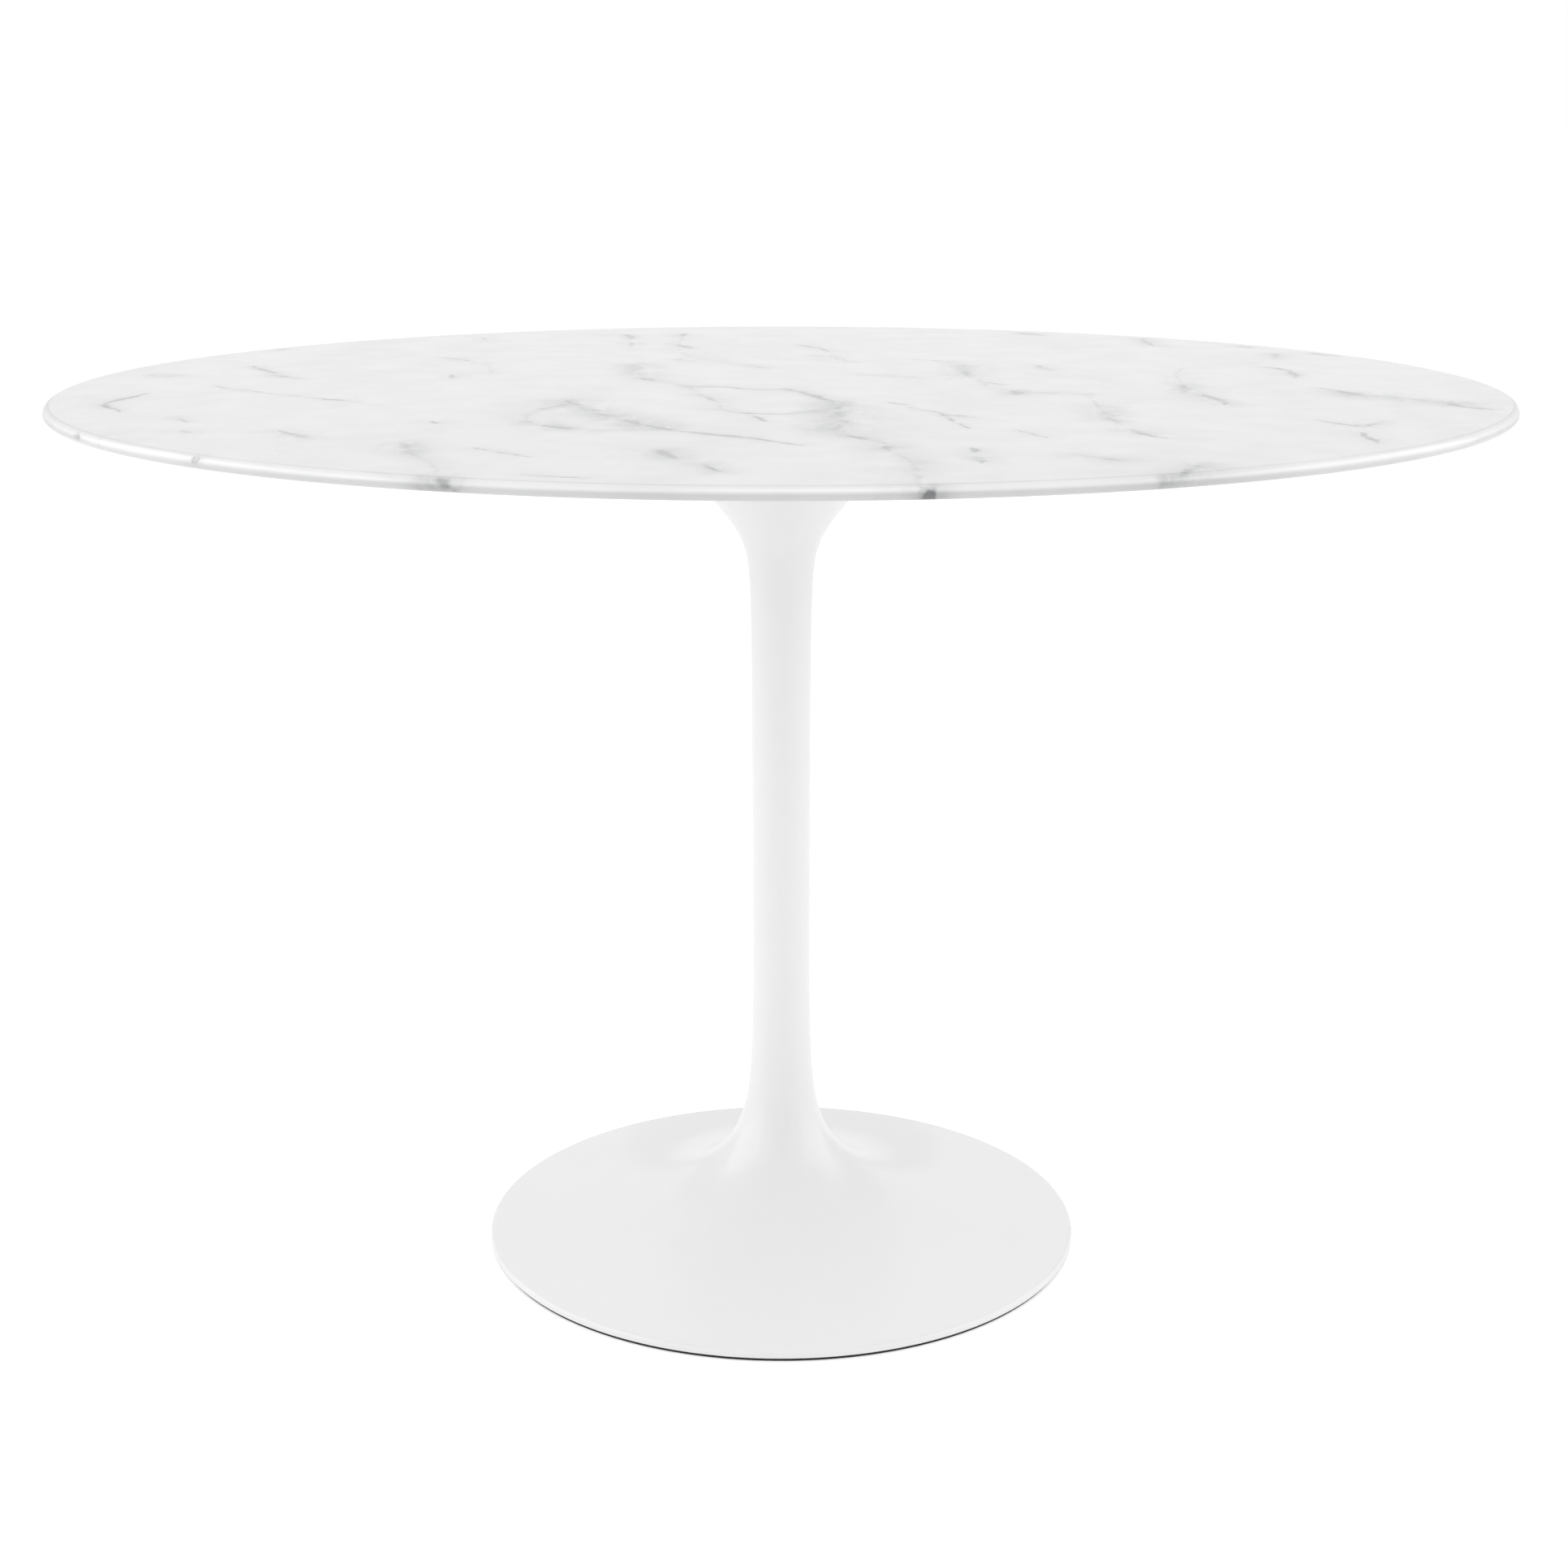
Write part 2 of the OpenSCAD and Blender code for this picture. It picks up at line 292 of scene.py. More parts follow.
def make_zinc():
    """Bright zinc plate: a cloudy, cool tint and a fine grain."""
    material, tree, surface, place = shader("zinc_plate", 0.3, metallic=1.0)
    tint(tree, surface, noise(tree, place, 160, 5, 0.6, 0.8), (0.50, 0.52, 0.56), (0.72, 0.73, 0.75))
    vary_roughness(tree, surface, noise(tree, place, 320, 4), 0.29, 0.42)
    bump(tree, surface, noise(tree, place, 2200, 2), 0.1, 0.0002)
    return material


def make_brass():
    """Plain brass, slightly tarnished in patches."""
    material, tree, surface, place = shader("plain_brass", 0.32, metallic=1.0)
    tint(tree, surface, noise(tree, place, 220, 4), (0.55, 0.40, 0.16), (0.72, 0.56, 0.26))
    bump(tree, surface, noise(tree, place, 1800, 2), 0.1, 0.0002)
    return material


def make_iron():
    """Rough grey iron under dark primer, with worn rusty specks."""
    material, tree, surface, place = shader("grey_iron", 0.75)
    tint(tree, surface, smooth(tree, noise(tree, place, 90, 8, 0.7), 0.5, 0.72), (0.035, 0.035, 0.038),
         (0.12, 0.085, 0.065))
    vary_roughness(tree, surface, noise(tree, place, 60, 5), 0.6, 0.9)
    bump(tree, surface, noise(tree, place, 500, 6, 0.7), 0.6, 0.0012)
    return material


def make_rubber(name, level):
    """Matt rubber with a fine grain and a bloom of dust."""
    material, tree, surface, place = shader(name, 0.65, ior=1.4)
    dust = smooth(tree, noise(tree, place, 45, 6, 0.65), 0.45, 0.75)
    tint(tree, surface, dust, grey(level), grey(level * 2.2))
    vary_roughness(tree, surface, noise(tree, place, 120, 4), 0.55, 0.75)
    bump(tree, surface, noise(tree, place, 1500, 3), 0.3, 0.0003)
    return material


# ---------------------------------------------------------------- marble

def stroke(ink, width, points, cloud=0.0, spread=20):
    """A vein: how dark it is, its half-width in mm, its (x, y) points in cm from the middle of the face,
    with the front at -y, and the strength and reach in mm of the grey cloud about it. Points past 58.6 cm,
    where the rounded corner starts, go round the rim."""
    return {"ink": ink, "width": width * MM, "points": np.array(points) * CM,
            "cloud": cloud, "spread": spread * MM}


# How much darker the flat face is than the rounded corner, whose extra brightness is a painted highlight,
# and how much darker the lower edge and the underside are than that corner, a painted shade
PAINTED_CORNER_HIGHLIGHT = 0.34
PAINTED_EDGE_SHADE = 0.34
# What the mesh tells the material about its veins
VEIN_FIELDS = ("vein_across", "vein_near", "vein_ink", "vein_cloud")
# A distance from any vein, in half-widths, at which none shows
FAR = 9.0
# Distance between the points of a vein's curve, how far they stray, and the seed of their straying
VEIN_STEP = 12 * MM
STRAY = 1 * MM
VEIN_SEED = 7
# A place off the unrolled face, clear of all veins
CLEAR = (2.0, 2.0)
# Size of the flat face's triangles
FACE_STEP = 5 * MM

# A sketch of the slab's main veins. They are broken, as in real marble: a dark dash, a gap, then a cloud.
VEINS = [
    # the hook in the middle: a cloud, a thin line, then a thick dark end
    stroke(0.2, 7, [(-13, 16.5), (-12.5, 10)], 0.9, 24),
    stroke(0.75, 4, [(-12, 5), (-10.5, 3)], 0.4, 14),
    stroke(0.75, 3.5, [(-7.5, -1.5), (-4.5, -2), (-2, -4), (0.5, -3.5)], 0.3, 14),
    stroke(1.0, 5, [(0.5, -3.5), (2, -7), (4, -12.5)], 0.5, 14),
    stroke(0.6, 3.5, [(3.5, -18), (0.5, -21), (-3, -20.5), (-4.5, -18.5)], 0.4, 14),
    stroke(0.6, 3.5, [(-6.5, -8), (-5, -12.5)], 0.3, 12),
    stroke(0.6, 4, [(-2, -22.5), (-1, -26)], 0.2, 10),
    # from the hook to the front edge
    stroke(0.3, 8, [(4.5, -14), (4.5, -23), (4, -31)], 1.0, 26),
    stroke(0.85, 5, [(5, -34.5), (7, -38)], 0.6, 16),
    stroke(0.9, 6, [(7, -40.5), (7, -41.5)], 0.6, 16),
    stroke(0.75, 5, [(8.5, -48), (9, -48.5)], 0.4, 12),
    stroke(0.8, 6, [(9, -58.5), (9.5, -59)], 0.4, 12),
    # the wide smudge left of the middle, and the long dark vein that it turns into
    stroke(0.35, 8, [(-16.5, -12.5), (-15, -17), (-12, -24), (-9.5, -28.5)], 1.0, 24),
    stroke(1.0, 4, [(-10, -28), (-7.5, -31.5), (-3, -35), (1.5, -39.5)], 0.4, 12),
    stroke(0.75, 4, [(-16.5, -14.5), (-18.5, -18)], 0.4, 14),
    stroke(0.75, 5, [(-18, -27), (-16, -30)], 0.7, 16),
    stroke(0.35, 3, [(-13, -31.5), (-10, -31)], 0.2, 10),
    stroke(0.9, 4, [(-25.5, -26), (-25, -27)], 0.3, 12),
    # right of the hook
    stroke(0.75, 4, [(8.5, -13.5), (9.5, -15)], 0.3, 10),
    stroke(0.85, 3.5, [(10, -17), (12, -20.5), (12.5, -25), (13.5, -30)], 0.2, 10),
    stroke(0.65, 7, [(13, -22), (14, -23)], 0.3, 12),
    stroke(0.7, 4, [(17, -31.5), (18.5, -35)], 0.3, 12),
    stroke(0.7, 6, [(13, -41.5), (13, -43)], 0.4, 14),
    stroke(0.75, 6, [(13, -46), (13, -48)], 0.5, 16),
    stroke(0.3, 6, [(20, -45), (22, -47)], 0.6, 18),
    # behind the middle
    stroke(0.75, 4, [(2, 36.5), (3.5, 33.5), (4.5, 30)], 0.4, 14),
    stroke(0.3, 5, [(4.5, 25), (6, 20)], 0.6, 20),
    stroke(0.2, 4, [(7, 8), (14, 4.5)], 0.3, 16),
    stroke(0.7, 6, [(-15.5, 48), (-15, 44)], 0.6, 18),
    stroke(0.7, 5, [(-15, 39), (-14.5, 36.5)], 0.4, 14),
    stroke(0.65, 5, [(-10, 50), (-10, 47)], 0.3, 14),
    stroke(0.8, 5, [(-10, 37), (-8.5, 33)], 0.3, 14),
    stroke(0.4, 4, [(-10, 22.5), (-8.5, 20.5)], 0.3, 12),
    stroke(0.4, 4, [(-3, 16.5), (-1, 13.5)], 0.3, 12),
    # right of the middle
    stroke(0.5, 4, [(12, 22), (15, 20)], 0.3, 12),
    stroke(0.3, 7, [(16.5, 15), (16, 8)], 0.9, 20),
    stroke(0.7, 4, [(17, 2), (18.5, 0)], 0.3, 12),
    stroke(0.85, 5, [(19, -4.5), (19, -7.5)], 0.4, 14),
    stroke(0.3, 6, [(20, -6), (24.5, -7)], 0.5, 20),
    stroke(0.4, 5, [(23, 16), (23.5, 12)], 0.4, 14),
    stroke(0.3, 6, [(24.5, -17), (24.5, -25)], 0.7, 16),
    stroke(0.75, 5, [(25, -31), (26.5, -35.5)], 0.5, 16),
    # towards the right edge
    stroke(0.9, 5, [(43, 15), (44.5, 12), (44, 5.5)], 0.4, 14),
    stroke(0.65, 5, [(44.5, -3), (46.5, -8)], 0.4, 16),
    stroke(0.25, 7, [(46.5, -8), (49.5, -11), (52.5, -13.5)], 0.8, 24),
    stroke(1.0, 6, [(52.5, -13), (52, -15.5), (54, -18)], 0.5, 12),
    stroke(0.3, 6, [(46, 27.5), (45.5, 23)], 0.6, 16),
    stroke(0.85, 6, [(34, -8.5), (34.5, -11), (34.5, -14.5)], 0.6, 18),
    stroke(0.35, 6, [(33.5, 0), (32.5, -6)], 0.5, 18),
    stroke(0.7, 3.5, [(39.5, -25), (41.5, -29)], 0.4, 14),
    stroke(0.85, 4, [(41, -32.5), (41, -38)], 0.3, 12),
    stroke(0.6, 6, [(44, -26), (42.5, -28.5)], 0.5, 14),
    stroke(0.35, 7, [(27, -49), (25.5, -53)], 0.7, 16),
    stroke(0.15, 6, [(24, -54), (24, -54.5)], 0.3, 12),
    # left side
    stroke(1.0, 4, [(-47, 15.5), (-46, 13), (-44, 9.5)], 0.4, 10),
    stroke(0.4, 6, [(-43.5, 7.5), (-41.5, 5)], 0.6, 14),
    stroke(0.6, 3.5, [(-47, -1), (-45, -3.5)], 0.2, 10),
    stroke(0.95, 4, [(-44, -4.5), (-42, -6)], 0.3, 10),
    stroke(0.4, 3, [(-41, -7), (-38.5, -9)], 0.1, 10),
    stroke(0.95, 4.5, [(-36.5, -10.5), (-34.5, -12)], 0.3, 10),
    stroke(0.95, 4, [(-51, -7), (-52.5, -14.5), (-50, -19.5)], 0.3, 10),
    stroke(0.6, 5, [(-28.5, 8), (-28, 4.5)], 0.5, 16),
    stroke(0.4, 4, [(-31, 23.5), (-29, 21.5), (-27.5, 18.5)], 0.4, 14),
    stroke(0.5, 5, [(-42.5, -31.5), (-42, -32.5)], 0.3, 12),
    stroke(0.45, 5, [(-44.5, -24), (-43.5, -26)], 0.4, 14),
    stroke(0.45, 6, [(-35.5, -31.5), (-33, -35.5)], 0.6, 18),
    stroke(0.25, 5, [(-54.5, 8), (-52.5, 7)], 0.6, 18),
    # front left
    stroke(0.8, 5, [(-20.5, -41), (-20, -42)], 0.5, 14),
    stroke(0.6, 3.5, [(-19, -43), (-16.5, -45.5)], 0.2, 10),
    stroke(0.3, 7, [(-26, -38.5), (-25, -43)], 0.7, 18),
    stroke(0.8, 6, [(-8, -42.5), (-7, -46)], 0.8, 18),
    stroke(0.6, 4, [(-5, -49), (-4, -52.5)], 0.5, 16),
    stroke(0.6, 3.5, [(-16, -54), (-14, -55), (-12, -55.5)], 0.2, 10),
    stroke(0.35, 5, [(-21.5, -55), (-20.5, -56)], 0.5, 16),
    stroke(0.8, 3.5, [(-39, -44.5), (-38.5, -45)], 0.3, 10),
    stroke(0.8, 3.5, [(-50.5, -31), (-50, -32)], 0.3, 10),
    # faint runs that join the dashes
    stroke(0.22, 3, [(-12.5, 10), (-10.5, 3), (-7.5, -1.5)], 0.3, 18),
    stroke(0.22, 3, [(-7.5, -2), (-6.5, -8), (-5, -12.5), (-4.5, -18)], 0.2, 16),
    stroke(0.22, 3, [(-18.5, -18), (-19, -23), (-18, -27), (-13, -31.5)], 0.3, 16),
    stroke(0.25, 4, [(7, -41.5), (8.5, -48), (8.5, -57), (9, -61)], 0.3, 16),
    stroke(0.2, 3, [(-10, 47), (-10, 37), (-9, 27), (-6, 20), (-2, 15)], 0.3, 18),
    stroke(0.2, 3, [(-15, 44), (-15, 39), (-14.5, 32.5)], 0.2, 16),
    stroke(0.2, 3, [(15, 20), (16.5, 15), (16, 8), (17, 2), (17, -2), (19, -4.5)], 0.2, 16),
    stroke(0.2, 3, [(36.5, 17), (34.5, 10), (33.5, 0), (34, -8.5)], 0.2, 16),
    stroke(0.2, 3, [(24.5, -8), (24.5, -17), (24.5, -25), (25, -31)], 0.2, 16),
    stroke(0.25, 3, [(-47, -1), (-42, -6), (-38.5, -9), (-34.5, -12), (-31, -15.5)], 0.1, 12),
    stroke(0.2, 3, [(-27.5, 18.5), (-26, 15), (-25, 9)], 0.2, 14),
    stroke(0.2, 4, [(-25, -43), (-22.5, -49), (-21.5, -55)], 0.3, 16),
    # near the back edge
    stroke(0.9, 7, [(24.5, 50), (26, 48)], 0.5, 14),
    stroke(1.0, 6, [(44, 35.5), (45, 34)], 0.4, 12),
    stroke(0.9, 5, [(50, 28), (51.5, 25)], 0.3, 12),
    stroke(0.4, 5, [(36, 44), (36, 36)], 0.5, 16),
    stroke(0.4, 6, [(-30, 44.5), (-29, 41)], 0.4, 18),
    stroke(0.65, 5, [(-47.5, 32), (-48, 31)], 0.3, 12),
]


def spline(points, step):
    """A Catmull-Rom curve through the points, with a point about every step."""
    p = np.array([2 * np.array(points[0]) - np.array(points[1]), *points,
                  2 * np.array(points[-1]) - np.array(points[-2])], float)
    made = []
    for a, b, c, d in zip(p, p[1:], p[2:], p[3:]):
        count = max(1, int(np.linalg.norm(c - b) / step))
        for t in np.arange(count) / count:
            made.append(0.5 * (2 * b + (c - a) * t + (2 * a - 5 * b + 4 * c - d) * t ** 2
                               + (3 * b - a - 3 * c + d) * t ** 3))
    return np.array([*made, p[-2]])


def vein_fields(plan):
    """For points on the unrolled face: signed distance across the nearest vein and distance from it, both
    in half-widths, that vein's ink, and the strength of the clouds."""
    across = np.full(len(plan), FAR)
    near = np.full(len(plan), FAR)
    ink = np.zeros(len(plan))
    cloud = np.zeros(len(plan))
    wander = random.Random(VEIN_SEED)
    for vein in VEINS:
        line = spline(vein["points"], VEIN_STEP)
        line = line + np.array([[wander.uniform(-1, 1), wander.uniform(-1, 1)] for _ in line]) * STRAY
        reach = max(FAR * vein["width"], 3 * vein["spread"])
        low, high = line.min(0) - reach, line.max(0) + reach
        chosen = np.where(((plan > low) & (plan < high)).all(1))[0]
        here = plan[chosen]
        best = np.full(len(chosen), 1e9)
        side = np.zeros(len(chosen))
        along = np.zeros(len(chosen))
        steps = len(line) - 1
        for i, (a, b) in enumerate(zip(line, line[1:])):
            d = b - a
            t = np.clip(((here - a) @ d) / (d @ d), 0, 1)
            gap = here - a - t[:, None] * d
            length = np.hypot(gap[:, 0], gap[:, 1])
            closer = length < best
            best = np.where(closer, length, best)
            side = np.where(closer, np.sign(d[0] * gap[:, 1] - d[1] * gap[:, 0]), side)
            along = np.where(closer, (i + t) / steps, along)
        taper = 0.45 + 0.55 * np.sin(np.pi * np.clip(along, 0.04, 0.96)) ** 0.5
        scaled = best / (vein["width"] * taper)
        strength = vein["ink"] * (0.55 + 0.45 * taper)
        cloud[chosen] += vein["cloud"] * np.exp(-(best / vein["spread"]) ** 2)
        nearer = scaled < near[chosen]
        picked = chosen[nearer]
        near[picked] = scaled[nearer]
        across[picked] = (scaled * side)[nearer]
        ink[picked] = strength[nearer]
    return across, near, ink, np.clip(cloud, 0, 1)


def make_marble():
    """White marble: the main veins come from the mesh, and noise breaks them up and adds fainter ones."""
    material, tree, surface, place = shader("white_marble", 0.3, ior=1.5, coat=0.5, coat_roughness=0.12)

    def field(name):
        """A value that the mesh carries."""
        return node(tree, "ShaderNodeAttribute", attribute_name=name).outputs["Fac"]

    across, near, ink, cloud = (field(name) for name in VEIN_FIELDS)
    # the marble's grain: coordinates stretched along the streaks
    grain = node(tree, "ShaderNodeMapping", {"Vector": place, "Rotation": (0, 0, math.radians(-18)),
                                             "Scale": (1.0, 0.38, 1.0)}).outputs[0]
    wobble = noise(tree, place, 45, 6, 0.6)
    shake = math_node(tree, "MULTIPLY", math_node(tree, "SUBTRACT", wobble, 0.5), 3.4)
    line = math_node(tree, "ABSOLUTE", math_node(tree, "ADD", across, shake))
    core = smooth(tree, line, 0.1, 1.1, 1, 0)
    halo = smooth(tree, near, 0.0, 3.0, 1, 0)
    broken = smooth(tree, noise(tree, place, 55, 6, 0.65), 0.40, 0.60, 0.2, 1)
    sharp = math_node(tree, "MULTIPLY", math_node(tree, "MULTIPLY", core, halo), broken)
    soft = math_node(tree, "MULTIPLY", math_node(tree, "MULTIPLY", halo, 0.2),
                     smooth(tree, noise(tree, place, 38, 6, 0.7), 0.35, 0.65))
    drawn = math_node(tree, "MULTIPLY", ink, math_node(tree, "ADD", sharp, soft))
    # soft grey clouds about the lines
    puff = smooth(tree, noise(tree, grain, 34, 8, 0.68, 0.3), 0.3, 0.64)
    clouds = math_node(tree, "MULTIPLY", math_node(tree, "MULTIPLY", cloud, puff), 0.46)
    # a few thin, faint veins that wander where a noise crosses its middle value
    meeting = math_node(tree, "SUBTRACT", noise(tree, grain, 6, 3, 0.5, 0.3), 0.5)
    ridge = math_node(tree, "ABSOLUTE", meeting)
    thin = smooth(tree, ridge, 0.0, 0.008, 1, 0)
    patches = smooth(tree, noise(tree, place, 7, 3), 0.52, 0.68)
    fine = math_node(tree, "MULTIPLY", math_node(tree, "MULTIPLY", thin, patches), 0.08)
    # a hint of mottling over the whole face
    mottle = smooth(tree, noise(tree, grain, 13, 6, 0.6), 0.4, 0.75, 0, 0.08)
    main = math_node(tree, "ADD", drawn, clouds)
    total = math_node(tree, "ADD", main, math_node(tree, "ADD", fine, mottle), clamp=True)
    # painted light: the rounded corner is brightest, a painted highlight; the flat face is darker, and the
    # lower edge and the underside are darker too, a painted shade
    height = node(tree, "ShaderNodeSeparateXYZ", {"Vector": place}).outputs["Z"]
    # painted shade: the lower edge and the underside are made darker than the rounded corner
    painted_lower_shade = smooth(tree, height, TABLE_H - 5.8 * MM, TABLE_H - 2.8 * MM, PAINTED_EDGE_SHADE, 0.0)
    # painted highlight: everything below the flat face is made lighter; with the painted shade above, only
    # the rounded corner keeps it
    corner = smooth(tree, height, TABLE_H - 0.5 * MM, TABLE_H - 0.02 * MM, PAINTED_CORNER_HIGHLIGHT, 0.0)
    tone_and_painted_light = math_node(tree, "ADD", math_node(tree, "SUBTRACT", painted_lower_shade, corner), PAINTED_CORNER_HIGHLIGHT)
    shade = math_node(tree, "ADD", total, tone_and_painted_light, clamp=True)
    tint(tree, surface, shade, grey(0.80), (0.17, 0.175, 0.18))
    vary_roughness(tree, surface, noise(tree, place, 24, 4), 0.29, 0.36)
    return material


def slab_outline():
    """The rim of the slab from the edge of its flat face down to its underside."""
    nose = (slab_high.z - slab_low.z) - SLAB_ROUND
    rim = arc(TOP_R - SLAB_ROUND, slab_high.z - SLAB_ROUND, SLAB_ROUND, 90, 0, 14)
    rim += arc(TOP_R - nose, slab_low.z + nose, nose, 0, -90, 10)[1:]
    return rim


def build_marble_top(material):
    """A disc of even triangles, so that the veins' fields are read evenly, closed by the rim and the
    underside."""
    rim = slab_outline()
    flat_r = rim[0][0]
    rings = math.ceil(flat_r / FACE_STEP)
    verts, plan, faces, starts = [(0.0, 0.0, slab_high.z)], [(0.0, 0.0)], [], [0]

    def add_ring(count, r, z, plan_r):
        starts.append(len(verts))
        for i in range(count):
            a = 2 * math.pi * i / count
            verts.append((r * math.cos(a), r * math.sin(a), z))
            plan.append((plan_r * math.cos(a), plan_r * math.sin(a)))

    for k in range(1, rings + 1):
        add_ring(6 * k, flat_r * k / rings, slab_high.z, flat_r * k / rings)
    for k in range(rings):
        inner, outer = starts[k], starts[k + 1]
        inner_count, outer_count = max(1, 6 * k), 6 * (k + 1)
        for side in range(6):
            for j in range(k + 1):
                a = outer + (side * (k + 1) + j) % outer_count
                b = outer + (side * (k + 1) + j + 1) % outer_count
                c = inner + (side * k + j) % inner_count
                faces.append((a, b, c))
                if j < k:
                    faces.append((c, b, inner + (side * k + j + 1) % inner_count))
    count, walked = 6 * rings, flat_r
    for (r0, z0), (r1, z1) in zip(rim, rim[1:]):
        walked += math.hypot(r1 - r0, z1 - z0)
        add_ring(count, r1, z1, walked)
    # the underside's outer part, and its width on the unrolled face
    under_w, under_plan = 60 * MM, 40 * MM
    add_ring(count, TOP_R - under_w, slab_low.z, walked + under_plan)
    for upper, lower in zip(starts[rings:], starts[rings + 1:]):
        for i in range(count):
            j = (i + 1) % count
            faces.append((upper + i, lower + i, lower + j, upper + j))
    middle = len(verts)
    verts.append((0.0, 0.0, slab_low.z))
    plan.append(CLEAR)
    faces += [(starts[-1] + (i + 1) % count, starts[-1] + i, middle) for i in range(count)]
    top = piece("marble_slab", (verts, faces), material, ["marble_top"])
    for name, values in zip(VEIN_FIELDS, vein_fields(np.array(plan))):
        attribute = top.data.attributes.new(name, "FLOAT", "POINT")
        attribute.data.foreach_set("value", values.astype(np.float32))
    return top


# ---------------------------------------------------------------- pedestal

def casting_r(z):
    """Radius of the casting's outside at height z."""
    lifted = min(z, CASTING_TOP - HEAD_LIP) - (CASTING_TOP - HEAD_DEPTH)
    head = HEAD_SLOPE / 2 * (math.hypot(lifted, HEAD_BLEND) + lifted)
    return STEM_R + (FOOT_R - STEM_R) * math.exp((FOOT_EDGE_Z - z) / FOOT_DECAY) + head


def foot_z(r):
    """Height of the foot's upper surface at radius r."""
    return FOOT_EDGE_Z + FOOT_DECAY * math.log((FOOT_R - STEM_R) / (r - STEM_R))


def build_pedestal(material):
    """The hollow casting as one turned body, with the bosses that take the ballast bolts."""
    slope = math.degrees(math.atan(FOOT_DECAY / (FOOT_R - STEM_R)))
    round_end = FOOT_R - FOOT_ROUND + FOOT_ROUND * math.sin(math.radians(slope))
    round_z = foot_z(round_end) - FOOT_ROUND * math.cos(math.radians(slope))
    land_r = FOOT_R - LAND_W
    web_r = STEM_R + (FOOT_R - STEM_R) * math.exp((FOOT_EDGE_Z - WEB_LOW - WALL) / FOOT_DECAY)
    lip_z = CASTING_TOP - HEAD_LIP
    head_r = casting_r(lip_z)
    bore = ROD_R + ROD_CLEARANCE
    hollow_top = CASTING_TOP - HEAD_WEB
    hollow_low = WEB_LOW + WEB_T
    growth = (land_r - STEM_R) / (web_r - STEM_R)
    radii = [STEM_R + (web_r - STEM_R) * growth ** t for t in np.linspace(0.02, 1, 40)]
    outline = [(bore, WEB_LOW), (web_r - 4 * MM, WEB_LOW)]
    outline += [(r, foot_z(r) - WALL) for r in radii]
    outline += [(land_r, RING_T + 0.4 * MM), (land_r + 0.4 * MM, RING_T)]
    outline += arc(FOOT_R - LIP_ROUND, RING_T + LIP_ROUND, LIP_ROUND, -90, 0, 6)
    outline += arc(FOOT_R - FOOT_ROUND, round_z, FOOT_ROUND, 0, 90 - slope, 10)
    curve_low = foot_z(round_end) + 0.4 * MM
    heights = (spaced(curve_low, 60 * MM, 1.2 * MM) + spaced(60 * MM, 140 * MM, 2.5 * MM)
               + spaced(140 * MM, 540 * MM, 10 * MM) + spaced(540 * MM, lip_z, 2.5 * MM))
    outline += [(casting_r(z), z) for z in heights]
    outline += arc(head_r - 0.6 * MM, lip_z + 0.3 * MM, 0.6 * MM, -20, 0, 3)
    outline += arc(head_r - LIP_ROUND, CASTING_TOP - LIP_ROUND, LIP_ROUND, 0, 90, 6)
    outline += arc(HUB_R + 0.7 * MM, CASTING_TOP - 0.6 * MM, 0.6 * MM, 90, 180, 4)
    outline += [(HUB_R + 0.1 * MM, hollow_top)]
    inner = (spaced(hollow_top, 560 * MM, 6 * MM) + spaced(560 * MM, 140 * MM, 20 * MM)
             + spaced(140 * MM, hollow_low, 3 * MM))
    outline += [(casting_r(z) - WALL, z) for z in inner]
    outline += [(casting_r(hollow_low) - WALL, hollow_low), (bore, hollow_low)]
    body = turned(outline, 256)
    edge = 0.6 * MM
    boss_top = foot_z(BALLAST_CIRCLE + BOSS_R) - 2 * MM
    thread_top = BOSS_Z + 11 * MM
    boss = turned([(BALLAST_BOLT_R, BOSS_Z), (BOSS_R - edge, BOSS_Z), (BOSS_R, BOSS_Z + edge),
                   (BOSS_R, boss_top), (0, boss_top), (0, thread_top), (BALLAST_BOLT_R, thread_top)], 48)
    bosses = around(boss, BALLAST_COUNT, BALLAST_CIRCLE)
    return piece("pedestal_casting", joined([body, bosses]), material, ["pedestal"])


# ---------------------------------------------------------------- board, plate and floor ring

def build_board(material):
    """The board, with the bevel softened where it starts. The inserts' holes, which the plate covers, are
    left out."""
    edge_r, low, high = core_high.x, core_low.z, core_high.z
    bevel_r = edge_r - BEVEL_W
    edge_z = high - 0.2 * MM
    outline = [(0, low), (bevel_r - 2 * MM, low), (bevel_r + 2 * MM, low + 0.28 * MM),
               (edge_r - 0.3 * MM, edge_z), (edge_r, edge_z + 0.1 * MM), (edge_r, high), (0, high)]
    return piece("board", turned(outline, 512), material, ["top_core"], 20)


def build_floor_ring(material):
    """The rubber ring, with a V groove along the middle of its underside."""
    out_r = ring_high.x
    in_r = out_r - RING_W
    edge = 0.6 * MM
    outline = [(in_r + edge, 0.0)]
    groove_r, groove = (in_r + out_r) / 2, 1.2 * MM
    outline += [(groove_r - groove, 0.0), (groove_r, 0.8 * MM), (groove_r + groove, 0.0)]
    outline += arc(out_r - edge, edge, edge, -90, 0, 6)
    outline += [(out_r, RING_T), (in_r, RING_T)]
    outline += arc(in_r + edge, edge, edge, 180, 270, 6)[:-1]
    return piece("rubber_ring", turned(outline, 256), material, ["floor_ring"])


def build_plate(material):
    """Steel disc with a softened edge and the hub's hole. The screws' holes, which the washers cover, are
    left out."""
    out_r, low, high = plate_high.x, plate_low.z, plate_high.z
    edge = 1 * MM
    outline = [(HUB_NECK_R, low)] + arc(out_r - edge, low + edge, edge, -90, 0, 6)
    outline += [(out_r, high), (HUB_NECK_R, high)]
    return piece("steel_plate", turned(outline, 192), material, ["mounting_plate"])


# ---------------------------------------------------------------- fasteners

def hexagon(apothem):
    """A shape that trims a turned solid to a hexagon, which leaves the curved corners of a real chamfer."""
    def shape(r, z, angle):
        turn = np.mod(angle, math.pi / 3) - math.pi / 6
        return np.minimum(r, apothem / np.cos(turn))
    return shape


